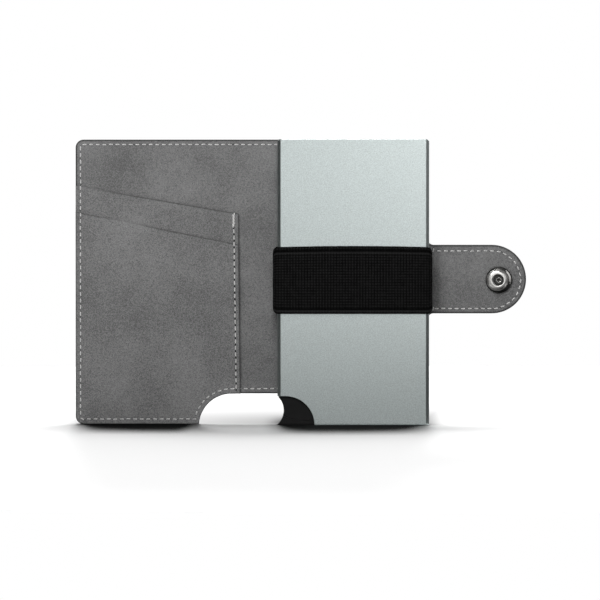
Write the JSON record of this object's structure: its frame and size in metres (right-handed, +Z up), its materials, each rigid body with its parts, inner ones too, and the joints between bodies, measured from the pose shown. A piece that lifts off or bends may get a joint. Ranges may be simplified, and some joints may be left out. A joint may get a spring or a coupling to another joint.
{
  "type": "card holder",
  "caption": "Open leather card holder: aluminium card case with a stepped ejector lever, held by an elastic band, beside two card pockets; closes with a snap strap.",
  "frame": {"origin": "The middle of the case's foot: the centre of the flat underside of the case base, on the surface the holder stands on.", "axes": "+X runs to the right along the open cover as the reader sees it, +Z is up along the case, +Y points away from the reader, through the back cover."},
  "size_m": [0.1708, 0.0147, 0.108],
  "materials": {
    "outer_leather": "matt grey nubuck",
    "lining_leather": "matt grey nubuck, sanded",
    "pocket_leather": "matt grey nubuck, sanded",
    "elastic": "woven black elastic",
    "aluminium": "satin anodised",
    "black_plastic": "fine matt moulded",
    "felt": "pressed felt",
    "nickel": "bright nickel plate",
    "steel": "plain drawn wire"
  },
  "bodies": {
    "back_cover": {"outer_leather_back": "outer_leather", "lining_back": "lining_leather", "elastic_band": "elastic"},
    "spine": {"outer_leather_spine": "outer_leather", "lining_spine": "lining_leather"},
    "front_cover": {"outer_leather_front": "outer_leather", "lining_front": "lining_leather", "pocket_panel_rear": "pocket_leather", "pocket_panel_front": "pocket_leather", "snap_stud": "nickel", "snap_stud_post": "nickel"},
    "strap_side": {"outer_leather_strap_side": "outer_leather", "lining_strap_side": "lining_leather"},
    "strap_tip": {"outer_leather_strap_tip": "outer_leather", "lining_strap_tip": "lining_leather", "snap_cap": "nickel", "snap_socket": "nickel", "snap_spring": "steel"},
    "card_case": {"case_shell": "aluminium", "case_base": "black_plastic", "lever_pivot_pin": "steel", "card_grip_front": "felt", "card_grip_back": "felt"},
    "ejector": {"ejector_lever": "black_plastic"}
  },
  "joints": [
    {"name": "spine_fold", "type": "hinge", "parent": "back_cover", "child": "spine", "pos_m": [-0.0305, 0.0054, 0.0549], "axis": [0, 0, 1], "range_deg": [0, 90]},
    {"name": "front_fold", "type": "hinge", "parent": "spine", "child": "front_cover", "pos_m": [-0.0431, 0.0054, 0.0549], "axis": [0, 0, 1], "range_deg": [0, 90]},
    {"name": "strap_bend", "type": "hinge", "parent": "back_cover", "child": "strap_side", "pos_m": [0.0319, 0.0054, 0.0549], "axis": [0, 0, -1], "range_deg": [0, 90]},
    {"name": "strap_tip_bend", "type": "hinge", "parent": "strap_side", "child": "strap_tip", "pos_m": [0.0502, 0.0054, 0.0549], "axis": [0, 0, -1], "range_deg": [0, 90]},
    {"name": "case_slide", "type": "slide", "parent": "back_cover", "child": "card_case", "axis": [0, 0, 1], "range_m": [0, 0.06]},
    {"name": "lever_swing", "type": "hinge", "parent": "card_case", "child": "ejector", "pos_m": [-0.0192, 0, 0.0155], "axis": [0, -1, 0], "range_deg": [0, 34]}
  ]
}
